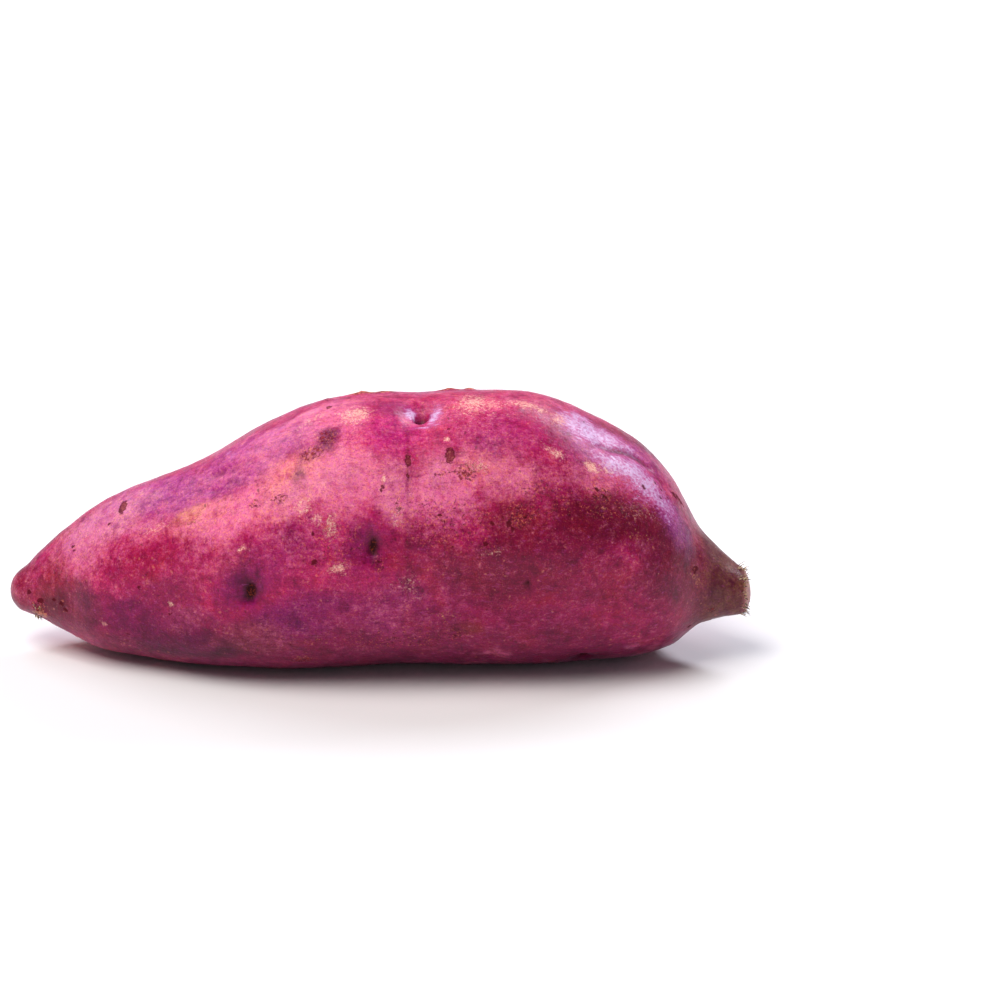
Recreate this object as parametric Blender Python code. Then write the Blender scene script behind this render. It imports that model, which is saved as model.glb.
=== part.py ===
"""A whole raw sweet potato, lying on its belly.

It grew as one piece, so it is one solid: a spindle that is fuller past its middle, with a thin
root tip at -X that lifts clear of the table and a blunt stem end at +X that runs out into the
short stub of its vine. Broad lumps, the dents where side roots grew and a shallow waist across
its back are part of the solid.

Metres, +Z up. The origin is on the table, under the middle of the root. The front is towards -Y.
"""

import math

import bmesh
import bpy
import numpy as np
from mathutils import Vector, noise

# The mesh: facets round the root, and rings of them from tip to tip.
SEGMENTS = 64
RINGS = 76

# What each row of STATIONS holds, in metres: the distance from the root tip, the half height of
# the root there, and how high and how far back its axis runs.
STATIONS = (
    (0.0000, 0.0000, 0.0140, 0.0120),
    (0.0010, 0.0036, 0.0141, 0.0119),
    (0.0040, 0.0059, 0.0148, 0.0114),
    (0.0075, 0.0084, 0.0163, 0.0108),
    (0.0125, 0.0119, 0.0178, 0.0098),
    (0.0240, 0.0188, 0.0203, 0.0070),
    (0.0360, 0.0227, 0.0227, 0.0040),
    (0.0480, 0.0261, 0.0257, 0.0011),
    (0.0640, 0.0308, 0.0308, -0.0004),
    (0.0800, 0.0337, 0.0339, 0.0006),
    (0.0960, 0.0344, 0.0345, 0.0016),
    (0.1180, 0.0350, 0.0348, 0.0026),
    (0.1320, 0.0343, 0.0345, 0.0030),
    (0.1460, 0.0311, 0.0316, 0.0036),
    (0.1580, 0.0269, 0.0282, 0.0040),
    (0.1660, 0.0213, 0.0248, 0.0040),
    (0.1720, 0.0135, 0.0220, 0.0036),
    (0.1770, 0.0096, 0.0201, 0.0030),
    (0.1810, 0.0072, 0.0187, 0.0023),
    (0.1845, 0.0053, 0.0178, 0.0016),
    (0.1860, 0.0000, 0.0174, 0.0014),
)

# Half width over half height, at distances from the root tip.
WIDTHS = ((0.000, 1.00), (0.045, 0.97), (0.090, 0.94), (0.130, 0.96), (0.165, 1.03), (0.186, 1.00))

# Lobes of the cross-section: waves round the root, their height as a share of the half height,
# where their crests lie in degrees, and how far the crests turn along the whole root.
LOBES = ((3, 0.006, 20.0, 60.0), (5, 0.005, 75.0, -80.0))

# Broad lumps of the flesh: their width, their height, and how much longer than wide they are.
LUMP_WIDTH = 0.017
LUMP_HEIGHT = 0.0009
LUMP_STRETCH = 1.7

# Dents, each as the distance from the root tip, degrees round from the top towards the front,
# half length, half width and depth. Negative depths are swellings.
DENTS = (
    (0.1028, 13.0, 0.0034, 0.0030, 0.0021),
    (0.1028, 13.0, 0.0085, 0.0070, 0.0007),
    (0.0602, 91.0, 0.0050, 0.0050, 0.0011),
    (0.0910, 78.0, 0.0044, 0.0052, 0.0010),
    (0.0520, 27.0, 0.0110, 0.0042, 0.0008),
    (0.0430, 52.0, 0.0190, 0.0060, -0.0006),
    (0.0160, 95.0, 0.0030, 0.0040, 0.0005),
    (0.1550, 16.0, 0.0080, 0.0026, 0.0007),
    (0.1300, 96.0, 0.0060, 0.0050, 0.0007),
    (0.1440, 152.0, 0.0050, 0.0050, 0.0009),
    (0.0330, 172.0, 0.0050, 0.0040, 0.0008),
    (0.1180, 226.0, 0.0048, 0.0045, 0.0011),
    (0.0700, 246.0, 0.0050, 0.0050, 0.0012),
    (0.1420, 282.0, 0.0045, 0.0048, 0.0011),
    (0.0360, 300.0, 0.0046, 0.0040, 0.0008),
    (0.0920, 318.0, 0.0044, 0.0044, 0.0010),
)

# The shallow waist across the back: where it is, its half width, its depth, and the degrees
# round from the top, towards the front, of its middle and of each side.
WAIST_AT = 0.1035
WAIST_HALF_WIDTH = 0.0050
WAIST_DEPTH = 0.0006
WAIST_MIDDLE = 12.0
WAIST_REACH = 55.0

# How much of the belly is pressed flat by lying on the table.
BELLY_FLAT = 0.0010

SKIN_COLOUR = (0.42, 0.06, 0.19, 1.0)
SKIN_ROUGHNESS = 0.48


def smooth_through(places, values, at):
    """A smooth curve through (places, values), read at each of at. Slopes are three-point ones."""
    places, values = np.array(places), np.array(values)
    steps = np.diff(places)
    rises = np.diff(values) / steps
    slopes = np.empty_like(values)
    slopes[0], slopes[-1] = rises[0], rises[-1]
    slopes[1:-1] = (rises[:-1] * steps[1:] + rises[1:] * steps[:-1]) / (steps[:-1] + steps[1:])
    i = np.clip(np.searchsorted(places, at, side="right") - 1, 0, len(steps) - 1)
    t = (at - places[i]) / steps[i]
    return (
        values[i] * (1 + 2 * t) * (1 - t) ** 2
        + slopes[i] * steps[i] * t * (1 - t) ** 2
        + values[i + 1] * t**2 * (3 - 2 * t)
        - slopes[i + 1] * steps[i] * t**2 * (1 - t)
    )


def half_height(along):
    """The half height of the root. Its square is what runs smoothly, so that both ends are round."""
    places, halves = np.array(STATIONS)[:, :2].T
    return np.sqrt(np.maximum(smooth_through(places, halves**2, along), 0.0))


def axis(along):
    """How high and how far back the root's axis runs."""
    places, _, heights, backs = np.array(STATIONS).T
    return smooth_through(places, heights, along), smooth_through(places, backs, along)


def ring_places():
    """Distances from the root tip at which the rings stand, evenly spaced over the skin."""
    fine = np.linspace(0.0, STATIONS[-1][0], 4001)
    skin = np.hypot(np.diff(fine), np.diff(half_height(fine)))
    walked = np.concatenate([[0.0], np.cumsum(skin)])
    return np.interp(np.linspace(0.0, walked[-1], RINGS + 1), walked, fine)


def turned_apart(angle, other):
    """The turn from other to angle, in radians from -pi to pi."""
    return (angle - other + math.pi) % (2 * math.pi) - math.pi


def relief(along, angle, half):
    """How far the skin stands out at a place on it, beyond the plain spindle."""
    out = 0.0
    for waves, share, crest, twist in LOBES:
        turn = math.radians(crest + twist * along / STATIONS[-1][0])
        out += half * share * math.cos(waves * (angle - turn))
    for place, degrees, long, wide, depth in DENTS:
        side = half * turned_apart(angle, math.radians(degrees))
        out -= depth * math.exp(-(((along - place) / long) ** 2) - (side / wide) ** 2)
    turned = turned_apart(angle, math.radians(WAIST_MIDDLE)) / math.radians(WAIST_REACH)
    across = (along - WAIST_AT) / WAIST_HALF_WIDTH
    out -= WAIST_DEPTH * math.exp(-(across**2) - turned**2)
    spot = Vector((along / LUMP_STRETCH, half * math.sin(angle), half * math.cos(angle)))
    return out + LUMP_HEIGHT * noise.noise(spot / LUMP_WIDTH)


def skin_point(along, angle):
    """The point of the skin at a distance from the root tip, and an angle round from the top
    towards the front."""
    half = float(half_height(along))
    height, back = axis(along)
    out = half + relief(along, angle, half) * min(1.0, half / LUMP_WIDTH)
    wide = float(np.interp(along, *np.array(WIDTHS).T))
    return Vector((along, back - wide * out * math.sin(angle), height + out * math.cos(angle)))


def skin_material():
    material = bpy.data.materials.new("skin")
    material.use_nodes = True
    shader = material.node_tree.nodes["Principled BSDF"]
    shader.inputs["Base Color"].default_value = SKIN_COLOUR
    shader.inputs["Roughness"].default_value = SKIN_ROUGHNESS
    shader.inputs["Metallic"].default_value = 0.0
    return material


def make_root():
    """The root, from a sphere whose poles become the two tips."""
    bm = bmesh.new()
    bmesh.ops.create_uvsphere(bm, u_segments=SEGMENTS, v_segments=RINGS, radius=1.0)
    places = ring_places()
    for vertex in bm.verts:
        x, y, z = vertex.co
        ring = round(math.acos(max(-1.0, min(1.0, z))) / math.pi * RINGS)
        vertex.co = skin_point(places[ring], math.atan2(y, x))
    lie_down(bm)
    bmesh.ops.recalc_face_normals(bm, faces=bm.faces)
    mesh = bpy.data.meshes.new("sweet_potato")
    bm.to_mesh(mesh)
    bm.free()
    mesh.shade_smooth()
    mesh.materials.append(skin_material())
    return bpy.data.objects.new("sweet_potato", mesh)


def lie_down(bm):
    """Presses the belly flat and moves the root so that it lies on the table over the origin."""
    table = min(v.co.z for v in bm.verts) + BELLY_FLAT
    for vertex in bm.verts:
        vertex.co.z = max(vertex.co.z, table)
    low, high = (Vector([pick(v.co[k] for v in bm.verts) for k in range(3)]) for pick in (min, max))
    middle = (low + high) / 2
    bmesh.ops.translate(bm, verts=bm.verts, vec=(-middle.x, -middle.y, -low.z))


def main():
    for old in list(bpy.data.objects):
        bpy.data.objects.remove(old)
    parts = bpy.data.collections.new("sweet_potato")
    bpy.context.scene.collection.children.link(parts)
    parts.objects.link(make_root())


main()
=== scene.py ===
"""How a whole raw sweet potato looks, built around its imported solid.

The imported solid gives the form. A finer skin is laid over it, with the eyes, scars, scabs and
wrinkles raised or sunk in its mesh, and with the skin's tones and worn places painted on its
points. One node material adds the mottling, the fibres and the specks. The photograph shows one
side, so what is placed by a pixel of it sits on that side, and a seeded scatter finishes the rest.

Metres, +Z up. The root lies along X with its thin tip at -X, and the camera looks along +Y.
"""

import math
import random

import bmesh
import bpy
import numpy as np
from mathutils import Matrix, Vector, noise
from mathutils.bvhtree import BVHTree


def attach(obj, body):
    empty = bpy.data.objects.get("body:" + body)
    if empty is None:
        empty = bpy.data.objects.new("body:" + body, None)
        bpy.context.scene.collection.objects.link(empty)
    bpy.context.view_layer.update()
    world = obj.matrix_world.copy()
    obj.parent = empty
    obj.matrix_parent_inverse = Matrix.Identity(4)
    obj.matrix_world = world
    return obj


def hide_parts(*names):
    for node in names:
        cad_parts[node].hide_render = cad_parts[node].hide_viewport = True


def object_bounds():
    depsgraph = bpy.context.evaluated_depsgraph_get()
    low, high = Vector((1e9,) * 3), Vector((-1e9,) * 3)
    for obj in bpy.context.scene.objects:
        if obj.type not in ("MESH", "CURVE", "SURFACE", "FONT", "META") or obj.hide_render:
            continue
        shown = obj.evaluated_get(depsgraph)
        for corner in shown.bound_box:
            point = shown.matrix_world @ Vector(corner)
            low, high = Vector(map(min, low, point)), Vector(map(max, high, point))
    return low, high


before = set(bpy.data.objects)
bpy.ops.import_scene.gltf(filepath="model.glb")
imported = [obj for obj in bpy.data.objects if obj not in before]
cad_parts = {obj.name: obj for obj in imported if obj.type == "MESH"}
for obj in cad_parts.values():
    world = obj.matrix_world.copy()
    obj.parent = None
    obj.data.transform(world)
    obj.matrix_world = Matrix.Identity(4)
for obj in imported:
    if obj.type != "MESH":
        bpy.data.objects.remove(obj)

MM = 0.001
CAD_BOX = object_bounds()
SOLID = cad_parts["sweet_potato"]
TIP_X, STEM_X = CAD_BOX[0][0], CAD_BOX[1][0]

# The photograph: pixels along a side, pixels to the metre at the root, the pixel column of the
# root's tip, and the pixel row of the table under the root's middle.
PHOTO_SIDE = 992
PIXELS_PER_METRE = 4000.0
TIP_COLUMN = 7.5
TABLE_ROW = 655.5

# The camera: how far it looks down, its distance in metres and its sensor's width in mm.
CAMERA_ELEVATION = math.radians(20.0)
CAMERA_DISTANCE = 4.0
SENSOR = 36.0

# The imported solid's own mesh: rings from tip to tip, and points round each.
SOLID_RINGS = 76
SOLID_SEGMENTS = 64

# The skin's mesh.
RINGS = 320
SEGMENTS = 288

# How far the plain skin lies inside the solid, which leaves room for what stands out of it, and
# how far all of it stays inside the solid's box.
SKIN_INSET = 0.12 * MM
SKIN_GAP = 0.02 * MM

# The least half height in mm that the girth is taken from, so that it isn't 0 at the tips.
LEAST_HALF_HEIGHT = 0.5

# Eyes, the sunk places where side roots grew. Each has its pixel, the half length along the root
# and the half width round it of its dark middle in mm, whose dark is partly cork and partly painted
# shade in the hollow, the depth of its hollow in mm, the height of its rim in mm, the reach of the
# darker skin round it in mm, and how dark that is. The last is the deep pit near the top, whose rim
# is pale, with painted highlights on it.
EYES = (
    (250, 592, 1.4, 2, 1, 0.12, 6.6, 0.8),
    (373, 547, 0.95, 1.8, 0.85, 0.1, 6, 0.75),
    (421, 420, 0.85, 0.85, 1.9, 0.26, 0, 0),
)

# The eyes that the photograph doesn't show: distance from the tip in mm and degrees round from
# the top towards the camera, then as above.
FAR_EYES = (
    (130, 96, 0.45, 0.7, 0.55, 0.06, 3.4, 0.3),
    (144, 152, 0.9, 1.4, 0.8, 0.1, 5, 0.8),
    (33, 172, 0.8, 1.1, 0.6, 0.08, 4.4, 0.7),
    (118, 226, 1, 1.5, 0.9, 0.12, 5.8, 0.8),
    (70, 246, 1.1, 1.6, 1, 0.12, 6.4, 0.85),
    (142, 282, 0.9, 1.4, 0.9, 0.12, 5.4, 0.8),
    (36, 300, 0.8, 1.1, 0.7, 0.08, 4.6, 0.75),
    (92, 318, 0.9, 1.3, 0.8, 0.1, 5.2, 0.8),
)

# Dark dots: pixel and half size in mm.
DOTS = (
    (29, 592, 0.6), (73, 546, 0.5), (74, 550, 0.32), (108, 524, 0.42), (141, 545, 0.42),
    (139, 588, 0.55), (170, 614, 0.4), (128, 634, 0.38), (245, 566, 0.46), (245, 571, 0.34),
    (272, 549, 0.34), (274, 525, 0.4), (281, 495, 0.4), (309, 513, 0.44), (313, 534, 0.55),
    (314, 562, 0.75), (317, 565, 0.4), (328, 589, 0.34), (339, 509, 0.4), (256, 653, 0.4),
    (449, 429, 0.45), (383, 487, 0.6), (381, 491, 0.36), (644, 487, 0.55), (661, 489, 0.5),
    (661, 498, 0.45), (655, 482, 0.36), (668, 497, 0.4), (375, 558, 0.5), (380, 562, 0.46),
    (377, 567, 0.4), (382, 569, 0.36), (486, 544, 0.65), (509, 524, 0.85), (503, 518, 0.45),
    (40, 601, 0.8), (53, 600, 0.5), (61, 604, 0.6), (65, 610, 0.55), (290, 645, 0.42),
    (304, 606, 0.36), (312, 607, 0.3), (432, 518, 0.36), (420, 505, 0.32), (453, 548, 0.6),
    (440, 516, 0.6), (443, 522, 0.5), (513, 530, 0.6), (492, 523, 0.55), (517, 508, 0.55),
    (525, 516, 0.55), (481, 510, 0.46), (454, 509, 0.4), (411, 503, 0.4), (597, 490, 0.5),
    (604, 496, 0.55), (609, 499, 0.4), (595, 497, 0.4),
)

# In these tables an oval is its pixel, its half length along the root and its half width round it
# in mm, and its tilt in degrees.

# Healed scars: oval, height in mm.
SCARS = (
    (123, 507, 1, 2.2, -12, 0.16),
    (408, 460, 0.7, 1.9, 0, 0.12),
    (450, 455, 1.1, 2.3, 0, 0.12),
    (408, 476, 0.5, 0.9, 0, 0.08),
    (329, 407, 0.7, 1.1, 0, 0.1),
    (679, 499, 1.3, 0.5, 35, 0.06),
    (674, 495, 0.9, 0.4, 35, 0.06),
)

# Rough scabs, broken into dark ragged specks: oval, height in mm, strength. The last five are
# wide, faint scatters of specks.
SCABS = (
    (327, 437, 2.6, 3.6, -8, 0.12, 0.72),
    (311, 453, 3.4, 2.2, 0, 0.1, 0.7),
    (326, 399, 1.2, 3, 0, 0.16, 0.6),
    (279, 499, 2.4, 1.8, -10, 0.05, 0.72),
    (255, 504, 1.8, 1.5, 0, 0.05, 0.64),
    (468, 472, 3.8, 2.6, 10, 0.1, 0.75),
    (440, 474, 2.8, 1, 10, 0.06, 0.6),
    (398, 509, 1.3, 3.2, 0, 0.06, 0.55),
    (601, 494, 3.8, 2.6, 15, 0.1, 0.65),
    (520, 520, 3.4, 2.4, 0, 0.08, 0.85),
    (489, 548, 2.6, 1.6, 0, 0.05, 0.45),
    (441, 518, 2, 1.6, 0, 0.06, 0.5),
    (378, 563, 1.4, 2.6, 0, 0.06, 0.6),
    (456, 634, 3.4, 2.2, -10, 0.04, 0.55),
    (303, 660, 3, 1.6, 0, 0.16, 0.9),
    (320, 640, 2.6, 1.2, 0, 0.04, 0.35),
    (62, 606, 1.2, 2.6, 0, 0.05, 0.3),
    (57, 570, 2, 4.2, 0, 0.04, 0.2),
    (39, 607, 2, 2, 0, 0.2, 0.8),
    (450, 520, 14, 8, 0, 0.02, 0.32),
    (540, 500, 10, 6, 10, 0.02, 0.36),
    (615, 502, 11, 5, 25, 0.02, 0.33),
    (335, 545, 9, 8, 0, 0.02, 0.28),
    (400, 640, 16, 5, 0, 0.01, 0.26),
)

# Places where the outer skin is rubbed into pale crumbs: oval, strength.
WORN = (
    (355, 414, 3.6, 3.6, 15, 0.8),
    (348, 421, 3, 2, 0, 0.55),
    (474, 402, 4.4, 5.6, 0, 0.72),
    (492, 404, 3.2, 3, 0, 0.62),
    (524, 404, 4.6, 2, -12, 0.8),
    (541, 409, 2.8, 2, -20, 0.62),
    (559, 419, 2.4, 3.4, -20, 0.72),
    (591, 467, 1.3, 1.3, 0, 1.5),
    (556, 453, 3, 1.3, -16, 0.75),
    (606, 470, 2.8, 2.2, 20, 0.55),
    (476, 467, 3.2, 2, 0, 0.6),
    (331, 526, 1.8, 3.6, 0, 0.66),
    (318, 519, 1.6, 2, 0, 0.56),
    (338, 569, 2.2, 1.4, 0, 0.84),
    (240, 550, 1, 0.7, 0, 0.9),
    (104, 624, 0.8, 0.9, 0, 0.8),
    (384, 479, 0.6, 0.9, 0, 1.3),
    (447, 439, 0.9, 0.5, 0, 1.2),
    (171, 604, 0.7, 1, 0, 0.65),
    (303, 507, 2.8, 2.4, 0, 0.6),
    (312, 420, 4.6, 2.6, 30, 0.5),
    (407, 585, 3.2, 2.6, 0, 0.36),
    (416, 594, 1, 2.2, 0, 0.42),
    (493, 553, 3.2, 0.6, 12, 0.6),
    (155, 528, 4, 1.6, 12, 0.45),
    (640, 512, 5, 2.2, 25, 0.34),
    (398, 516, 1.3, 3.4, 0, 0.55),
)

# Tan crusts: distance from the tip in mm, degrees round from the top towards the camera, half
# length and half width in mm, tilt in degrees, strength.
CRUSTS = (
    (88.5, -17, 3.4, 1.6, 0, 1.2),
    (94, -17, 2.6, 1.4, 0, 1.1),
    (110.5, -17, 3, 1.3, 0, 1.1),
    (115.5, -17, 1.5, 1.3, 0, 1.3),
    (74, 139, 2.4, 1.4, 0, 0.5),
    (8, 128, 1.8, 1.8, 0, 1),
    (46.5, 47, 3.4, 1.8, 20, 0.45),
    (148.5, 56, 3.2, 2.6, 20, 0.4),
    (158, 64, 5, 2.2, 20, 0.38),
    (110, 112, 3.6, 2.4, 0, 0.4),
)

# Painted lilac sheen: painted highlights on the pit's rims and on small dents, a painted reflection
# on the right shoulder and a painted sheen along the upper left edge: oval, strength.
PAINTED_SHEENS = (
    (411, 415, 1.2, 2, 20, 1.3),
    (434, 416, 1.3, 3.2, -14, 1.05),
    (422, 427, 3.6, 0.7, 0, 0.65),
    (229, 453, 0.9, 1.2, 0, 0.55),
    (244, 452, 1.3, 1.2, 0, 0.5),
    (566, 412, 2.2, 2.4, 20, 0.55),
    (578, 417, 3, 3, 22, 0.85),
    (572, 423, 3.4, 4.4, 22, 0.95),
    (588, 430, 4.4, 5.4, 24, 1.05),
    (606, 438, 4.6, 4.4, 28, 0.92),
    (626, 449, 4, 2.6, 32, 0.72),
    (600, 456, 3.4, 2.6, 20, 0.6),
    (616, 464, 4.6, 3.2, 28, 0.95),
    (634, 472, 4.6, 4.4, 36, 1),
    (648, 486, 4.4, 4.4, 40, 0.95),
    (662, 502, 4, 3.6, 44, 0.75),
    (640, 497, 3, 1.8, 38, 0.45),
    (668, 516, 3, 3, 46, 0.5),
    (70, 546, 4, 3, 0, 0.3),
    (90, 524, 5, 3, 0, 0.32),
    (115, 504, 6, 3, 0, 0.36),
    (150, 487, 8, 3, 0, 0.3),
    (190, 471, 8, 3, 0, 0.28),
    (235, 453, 8, 3, 0, 0.3),
    (275, 432, 8, 3, 0, 0.34),
    (311, 411, 6, 2.4, 0, 0.36),
)

# Creases: the pixels of a line, half width and depth in mm, and how dark the painted shade along
# it is. The one of no depth paints shade on the far wall of the pit, the short ones are small
# dents, and the last four wrinkle the tip.
CREASES = (
    (((602, 446), (612, 450), (624, 452), (636, 457), (648, 466)), 0.75, 0.5, 1.15),
    (((648, 466), (658, 478), (666, 492)), 0.5, 0.16, 0.5),
    (((590, 446), (602, 446)), 0.5, 0.2, 0.45),
    (((241, 560), (244, 574), (248, 586)), 0.6, 0.16, 0.35),
    (((370, 526), (371, 536), (373, 546)), 0.6, 0.14, 0.3),
    (((208, 478), (222, 471), (240, 465), (252, 461)), 0.8, 0.2, 0.2),
    (((407, 430), (407, 462), (408, 490), (409, 530), (408, 600)), 0.4, 0.1, 0.55),
    (((434, 402), (433, 450), (433, 500)), 0.4, 0.05, 0.22),
    (((460, 398), (459, 440), (459, 470)), 0.4, 0.05, 0.22),
    (((417, 419), (421, 419), (426, 419)), 0.8, 0, 1.2),
    (((214, 475), (222, 472)), 0.9, 0.5, 0.75),
    (((213, 491), (219, 490)), 0.7, 0.36, 0.55),
    (((232, 468), (238, 466)), 0.8, 0.36, 0.4),
    (((49, 556), (50, 580), (47, 600)), 0.45, 0.12, 0.35),
    (((56, 552), (58, 580), (54, 604)), 0.45, 0.12, 0.35),
    (((63, 556), (65, 585), (62, 612)), 0.45, 0.1, 0.3),
    (((36, 566), (37, 580), (36, 598)), 0.45, 0.12, 0.3),
)

# Tones of the skin, patch over patch, a few of them painted shade or sheen as marked: oval, colour,
# the share of pale crumbs in it, strength.
TONES = (
    # Partly painted sheen: the purple of the upper left flank.
    (215, 478, 30, 9, 0, (164, 36, 136), 0.36, 0.88),
    (255, 450, 12, 9, 20, (196, 60, 140), 0.46, 0.6),
    # The next three are partly painted sheen, grey-lilac along the upper left edge.
    (106, 511, 10, 3.2, 0, (172, 98, 142), 0.52, 0.5),
    (72, 549, 6, 3.2, 0, (166, 92, 128), 0.46, 0.5),
    (98, 524, 10, 7, 10, (200, 132, 154), 0.66, 0.85),
    (80, 555, 8, 6, 0, (196, 74, 112), 0.5, 0.6),
    (250, 504, 16, 4.8, 22, (234, 92, 136), 0.72, 0.9),
    (292, 480, 8.5, 7, 20, (234, 120, 108), 0.56, 1),
    (202, 518, 8.5, 3.8, 16, (228, 110, 106), 0.62, 0.95),
    (189, 515, 4.6, 2.4, 20, (224, 136, 104), 0.34, 0.85),
    (150, 560, 10.5, 5, 8, (168, 14, 74), 0.18, 0.95),
    (205, 566, 10, 6, 0, (176, 24, 86), 0.3, 0.7),
    (300, 481, 2, 5, 0, (142, 66, 92), 0.26, 0.9),
    (297, 494, 2, 1.6, 0, (128, 54, 86), 0.26, 0.85),
    (393, 430, 8.5, 9.5, 0, (202, 26, 118), 0.26, 0.92),
    (432, 440, 5, 6, 0, (196, 26, 104), 0.2, 0.45),
    (417, 545, 3, 13, 0, (136, 14, 78), 0.2, 0.4),
    (395, 492, 4.6, 9, 0, (204, 96, 136), 0.56, 0.85),
    (440, 492, 8.5, 9, 0, (216, 66, 126), 0.68, 0.9),
    (345, 480, 9, 9, 0, (230, 76, 132), 0.74, 0.9),
    (338, 430, 8, 8, 0, (224, 66, 124), 0.58, 0.75),
    (282, 430, 10, 4, 25, (222, 110, 152), 0.56, 0.6),
    (480, 405, 8, 5, 0, (220, 44, 104), 0.34, 0.6),
    (500, 442, 10, 9, 0, (182, 34, 110), 0.3, 0.9),
    (553, 430, 9, 9, 20, (180, 14, 98), 0.1, 0.85),
    (560, 480, 12, 6, 8, (170, 28, 86), 0.34, 0.75),
    (600, 520, 20, 7.5, 14, (112, 4, 44), 0.08, 0.95),
    (516, 524, 9, 7, 0, (140, 12, 44), 0.18, 0.75),
    (515, 570, 15, 13, 0, (124, 8, 56), 0.14, 0.85),
    (246, 584, 8, 7, 0, (136, 14, 92), 0.2, 0.75),
    (368, 545, 6, 7, 0, (138, 20, 92), 0.24, 0.65),
    (285, 548, 8, 7, 0, (164, 24, 100), 0.36, 0.6),
    (420, 552, 12, 8, 0, (146, 16, 70), 0.22, 0.8),
    (466, 576, 8.5, 8, 0, (128, 8, 56), 0.18, 0.72),
    (168, 594, 9, 5.5, 0, (132, 8, 70), 0.12, 0.75),
    (508, 476, 8, 5, 0, (212, 88, 118), 0.64, 0.8),
    (470, 466, 5, 5, 0, (228, 94, 106), 0.56, 0.5),
    (590, 479, 6, 3.6, 15, (196, 76, 116), 0.5, 0.6),
    (290, 503, 8, 4, 15, (234, 100, 132), 0.72, 0.6),
    (330, 408, 9, 5, 10, (238, 112, 150), 0.74, 0.6),
    (390, 408, 6, 4, 0, (160, 6, 94), 0.1, 0.95),
    (600, 580, 15, 9, 0, (136, 12, 64), 0.18, 0.7),
    (462, 628, 5, 2.4, -12, (124, 38, 32), 0.12, 0.8),
    (327, 437, 3, 3.8, -8, (112, 8, 74), 0.1, 0.8),
    (311, 453, 4, 2.6, 0, (158, 58, 96), 0.28, 0.6),
    (630, 438, 12, 3.6, 35, (122, 6, 62), 0, 0.95),
    (668, 537, 7, 6, 0, (128, 0, 44), 0, 0.9),
    (348, 560, 6, 5, 0, (146, 18, 84), 0.28, 0.5),
    (228, 562, 5, 4, 0, (200, 56, 104), 0.48, 0.5),
    (148, 531, 6, 3.2, 8, (208, 88, 120), 0.6, 0.3),
    (668, 572, 9, 10, 0, (118, 10, 56), 0.14, 0.85),
    # Painted shade: a dark band along the bottom edge.
    (200, 648, 16, 4.6, 0, (74, 0, 44), 0, 0.95),
    (390, 616, 10, 6, 0, (186, 62, 126), 0.64, 0.72),
    (432, 622, 9, 6, 0, (132, 18, 70), 0.2, 0.6),
    (270, 646, 8, 3, 0, (164, 54, 86), 0.42, 0.5),
    (300, 618, 16, 7, 0, (146, 18, 104), 0.34, 0.8),
    (180, 640, 11, 5, 0, (116, 4, 72), 0.1, 0.9),
    (186, 618, 6, 4, 0, (150, 48, 92), 0.42, 0.7),
    (248, 634, 8, 5, 0, (148, 52, 80), 0.44, 0.75),
    (130, 617, 10, 6, 0, (134, 8, 82), 0.1, 0.9),
    (80, 610, 5, 6.5, 0, (122, 32, 68), 0.16, 0.85),
    (53, 598, 4, 8, 0, (108, 2, 44), 0, 0.95),
    (56, 568, 3.6, 6, 0, (182, 44, 76), 0.3, 0.75),
    (20, 590, 4, 9, 0, (146, 26, 66), 0.22, 0.9),
    (350, 612, 9, 8, 0, (156, 26, 96), 0.34, 0.6),
    (420, 610, 12, 9, 0, (162, 30, 96), 0.42, 0.6),
    (620, 452, 14, 7, 28, (176, 66, 138), 0.3, 0.7),
    (600, 425, 14, 4, 30, (164, 18, 76), 0.18, 0.75),
    # Painted sheen: the shoulder's lilac carried on to the right edge.
    (671, 512, 4, 5, 40, (158, 66, 138), 0.2, 0.7),
    (306, 414, 4, 2, 20, (236, 150, 168), 0.8, 0.7),
)

# The tones under those patches, on top and on the belly, where the darker tone is painted shade,
# and the degrees from the top between which the belly's comes in.
TOP_TONE = (188, 26, 96)
SHADED_BELLY_TONE = (126, 2, 70)
SHADED_BELLY_FROM = (88, 140)

# The stem's tone and that of its torn, woody end, and the distances from the tip in mm between
# which each comes in.
STEM_TONE = (112, 62, 58)
STEM_FROM = (168, 177)
TORN_TONE = (178, 126, 110)
TORN_FROM = (183.6, 184.8)

# A patch of tone fades between these shares of its size.
TONE_EDGE = (0.45, 1.45)

# The share of pale crumbs where no patch lies, what every share is multiplied by, how much less
# that is low on the root, past these degrees from the top, which darkens it there as painted shade,
# and how much of them the stem loses.
PLAIN_CRUMBS = 0.28
CRUMB_SHARE = 1.08
LOW_LOSS = 0.5
LOW_FROM = (58, 112)
STEM_LOSS = 0.85

# Where things are scattered: mm from the tip, and degrees round from the top towards the camera,
# past FAR_SIDE, where the photograph shows none of the root, or up to STEM_SIDE at its hidden end.
SCATTER_ALONG = (8, 176)
SCATTER_ROUND = (60, 335)
FAR_SIDE = 152
STEM_PART = 170
STEM_SIDE = 140

# What is scattered there: how many, a seed, and the least and most of each thing that is drawn. It
# is a half size in mm for dots, a half width and a tilt for scars, a half length, a half width as a
# share of it, a tilt and a strength for scabs and worn places, the same without the share for
# crusts, and with a half width in mm for tones.
FAR_DOTS = (70, 41, (0.3, 0.6))
FAR_SCARS = (20, 5, (0.7, 2.2), (-20, 20))
FAR_SCABS = (30, 8, (1.2, 4.2), (0.6, 1.2), (-40, 40), (0.4, 0.9))
FAR_WORN = (34, 12, (1.2, 5.5), (0.5, 1), (-30, 30), (0.5, 0.8))
FAR_CRUSTS = (14, 52, (1.6, 4), (-30, 30), (0.4, 0.8))
FAR_TONES = (80, 31, (5, 20), (4, 9), (-30, 30), (0.3, 0.8))

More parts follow.
